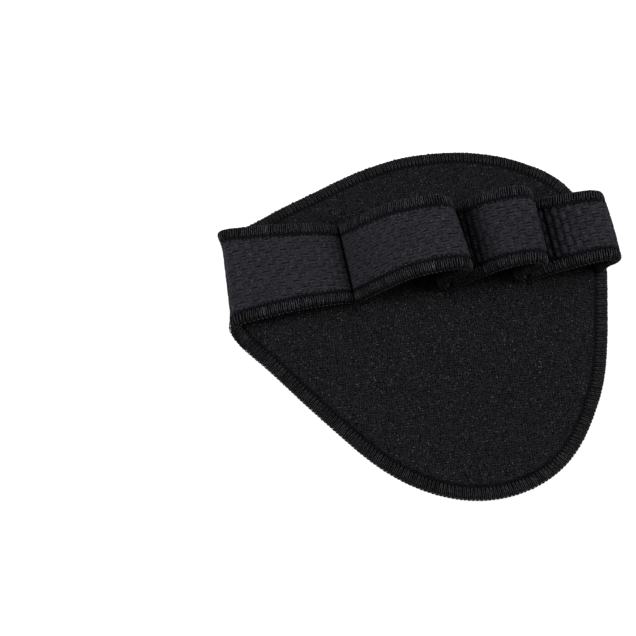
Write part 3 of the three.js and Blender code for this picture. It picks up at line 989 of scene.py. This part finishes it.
def overlock(name, first, last, seed):
    """The overlock between two lengths along the edge: two loopers, the chain that they make
    where they catch each other, and the needle thread on both faces."""
    threads = Threads()
    random = np.random.default_rng(seed)
    for grip_side in (True, False):
        at, share, height, radius, lit = looper_path(first, last, grip_side, random)
        place, outwards = on_rim(at, share, height)
        lit = lit * (LIT_ON_GRIP if grip_side else LIT_ON_JERSEY)
        lit = lit * (1 - 0.85 * row_shadow(EDGE.read(at)[0]))
        # Painted shade: the strip's upper edge is darker at its rim, where it lies against the pad
        rim_shade = np.clip((share - 0.10) / 0.2, 0.05, 1)
        lit = lit * np.where(at > FOLD_HIGH + 4, rim_shade, 1)
        threads.add(place, outwards, radius, 6, 0, lit)
    stitches = int(round((last - first) / STITCH))
    at = np.linspace(first, last, stitches * 6 + 1)
    turn = 2 * math.pi * (at - first) / (last - first) * stitches
    bead = (0.5 - 0.5 * np.cos(turn)) ** 1.5
    out = CHAIN_OUT * (1 - 0.7 * on_pad_share(EDGE.read(at)[0])) * (0.35 + 0.65 * bead)
    place, _ = on_rim(at, out + 0.02, chain_height(at))
    outwards = place - in_space(*from_edge(at, 0.25), chain_height(at) - 1.2)
    # Painted light on the chain: its beads lighter, the gaps between them near black
    threads.add(place, outwards, CHAIN_RADIUS * (0.45 + 0.65 * bead), 6, 0, 0.05 + 1.5 * bead)
    hole = (0.5 + 0.5 * np.cos(turn)) ** 3
    uneven = random.normal(0, UNEVEN_HEIGHT, len(at))
    for face, sign, rise in ((LAMINATE - GRIP_DIP, 1, 0.22), (JERSEY_DIP, -1, 0.06)):
        line = 1.07 - 0.02 * sign - (0.08 - 0.02 * sign) * hole + uneven
        place, outwards = on_rim(at, line, face + sign * (rise - 0.3 * hole))
        # Painted shade: the needle thread is near black at its holes, and darker on the jersey
        # face
        lit = (0.6 + 0.4 * sign) * (1 - 0.95 * hole)
        threads.add(place, outwards, NEEDLE_RADIUS, 5, 1, lit)
    return threads.piece(name, [LOOPER, NEEDLE])


def row_shadow(u):
    """How deep the edging is drawn into a row of stitches."""
    return sum(np.where(u < 0, np.exp(-((-u - row.at) / 1.1) ** 2), 0) for row in ROWS)


def on_rim(at, share, height):
    """Places on the rim, and the way out of it there."""
    place = in_space(*from_edge(at, share), height)
    return place, place - in_space(*from_edge(at, 0.55), HALF)


# Rows of stitches that sew the strip down

END_STEPS, END_STEP = 14, 0.24  # a loose end's length, in steps
UP = np.array([0.0, 0.0, 1.0])


def row_path(row, shift, phase, under):
    """A lockstitch's way over the strip, or under the pad, from beyond the low edge to beyond the
    high edge."""
    v = np.arange(row.low - ROW_BELOW, row.high + ROW_ABOVE, ROW_STITCH / 10)
    hole = np.abs(np.cos(math.pi * ((v - row.low) / ROW_STITCH + phase))) ** 14
    shift = shift + 0.10 * ripple(v, 40 * phase, 7.0, 41)
    on_pad = row.x - row.skew * v - FOLD_X + shift
    if under:
        return in_space(on_pad, v, LAMINATE - 0.05 - 0.4 * hole)
    near_edge = np.clip(1 - np.minimum(v - row.low, row.high - v) / LOW_BAND, 0, 1)
    over_strip = LAMINATE - 0.1 + 0.1 * near_edge - 0.45 * hole
    on_strip = in_space(-row.at + shift, v, over_strip)
    beside = in_space(on_pad, v, -0.14 + 0.3 * hole)
    outside = (v < row.low + 0.1) | (v > row.high - 0.1)
    return soften(np.where(outside[:, None], beside, on_strip), 1.6)


def loose_ends(row, number):
    """Paths of the ends of thread that were cut off beyond both edges."""
    random = np.random.default_rng(60 + number)
    for side, v, count in ((-1, row.low, 3), (1, row.high, 2)):
        start = in_space(row.x - row.skew * v - FOLD_X, v + side * 0.4, -0.3)
        for _ in range(count):
            turn = side * math.pi / 2 + random.uniform(-0.9, 0.9)
            curl = np.cumsum(random.uniform(-0.5, 0.5, END_STEPS) + random.uniform(-0.14, 0.14))
            reach = END_STEP * np.stack([np.cos(turn + curl), np.sin(turn + curl)], 1)
            lift = 0.5 * np.sin(np.linspace(0, math.pi, END_STEPS)) * random.uniform(0.4, 1.0)
            path = np.column_stack([np.cumsum(reach, axis=0), lift])
            yield start + path + [random.uniform(-0.5, 0.5), 0, LOOSE_RADIUS]


def stitch_row(number, row):
    threads = Threads()
    for shift, phase in ((-0.34, 0.0), (0.20, 0.5)):
        for under in (False, True):
            path = row_path(row, shift, phase, under)
            threads.add(path, -UP if under else UP, ROW_RADIUS, 6, 0)
    for path in loose_ends(row, number):
        threads.add(path, UP, LOOSE_RADIUS, 5, 0, 3.0)
    return threads.piece(f"stitch_row_{number}", [ROW_THREAD])


# Build

palm_foam_pad = palm_foam()
finger_strip_foam = strip_foam()
palm_grip_cloth = palm_cloth()
strip_grip_cloth = strip_cloth()
pad_edge = overlock("pad_overlock", FOLD_LOW, FOLD_HIGH, 11)
lower_edge = overlock("strip_overlock_lower", 0.0, FOLD_LOW, 12)
upper_edge = overlock("strip_overlock_upper", FOLD_HIGH, EDGE.length, 13)
rows = [stitch_row(k + 1, row) for k, row in enumerate(ROWS)]

for piece, node in (
    (palm_foam_pad, "palm_pad"),
    (finger_strip_foam, "finger_strip"),
    (palm_grip_cloth, "palm_grip_face"),
    (strip_grip_cloth, "strip_grip_face"),
    (pad_edge, "pad_edging"),
    (lower_edge, "strip_edging_lower"),
    (upper_edge, "strip_edging_upper"),
):
    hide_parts(node)

for slot, pieces in {
    "jersey_foam": [palm_foam_pad, finger_strip_foam],
    "grip_fabric": [palm_grip_cloth, strip_grip_cloth],
    "edging_thread": [pad_edge, lower_edge, upper_edge, *rows],
}.items():
    for piece in pieces:
        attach(piece, "root")


# Camera, light and floor

PHOTO_SIDE = 636
VIEW_TILT, VIEW_AZIMUTH = 18.0, -7.2  # the line of sight from straight down, and its turn
VIEW_DISTANCE = 520.0
VIEW_TARGET = (27.807, -15.095, 0.0)  # where it meets the floor
MM_PER_PIXEL = 0.32
FLOOR_SIDE = 3.0  # metres from its middle, as are the places of the lights
LIGHTS = (("left", (-0.88, 0.02, 0.82), 11.6), ("right", (0.88, 0.02, 0.82), 11.9))
LIGHT_SIZE, WORLD_LIGHT = 0.7, 0.21


def make_camera():
    data = bpy.data.cameras.new("camera")
    data.sensor_width = 36.0
    data.lens = data.sensor_width * VIEW_DISTANCE / MM_PER_PIXEL / PHOTO_SIDE
    data.clip_start, data.clip_end = 0.01, 20
    camera = add_object("camera", data)
    target = Matrix.Translation(Vector(row_frame(VIEW_TARGET)))
    turned = Euler((math.radians(VIEW_TILT), 0, math.radians(VIEW_AZIMUTH))).to_matrix().to_4x4()
    camera.matrix_world = target @ turned @ Matrix.Translation((0, 0, VIEW_DISTANCE * MM))
    bpy.context.scene.camera = camera


def make_floor():
    """A wide pale floor at the height that the pad rests on."""
    mesh = bpy.data.meshes.new("floor")
    corners = [(FLOOR_SIDE * x, FLOOR_SIDE * y, CAD_BOX[0].z)
               for x, y in ((-1, -1), (1, -1), (1, 1), (-1, 1))]
    mesh.from_pydata(corners, [], [(0, 1, 2, 3)])
    finish = Finish("floor")
    place = finish.add("ShaderNodeTexCoord").outputs["Object"]
    finish.colour((0.40, 0.40, 0.402), (0.42, 0.42, 0.421), finish.noise(place, 3.0))
    mesh.materials.append(finish.set(Roughness=0.9, Specular_IOR_Level=0.1,
                                     Emission_Strength=0.8, Emission_Color=(1, 1, 1, 1)))
    add_object("floor", mesh)


def make_light():
    world = bpy.data.worlds.new("studio")
    world.use_nodes = True
    background = world.node_tree.nodes["Background"]
    background.inputs[0].default_value = (1, 1, 1, 1)
    background.inputs[1].default_value = WORLD_LIGHT
    bpy.context.scene.world = world
    for name, place, power in LIGHTS:
        data = bpy.data.lights.new(name, "AREA")
        data.shape, data.size, data.energy = "DISK", LIGHT_SIZE, power
        light = add_object(name, data)
        light.location = place
        light.rotation_mode = "QUATERNION"
        light.rotation_quaternion = Vector(place).to_track_quat("Z", "Y")
    bpy.context.scene.view_settings.view_transform = "Standard"


make_camera()
make_floor()
make_light()
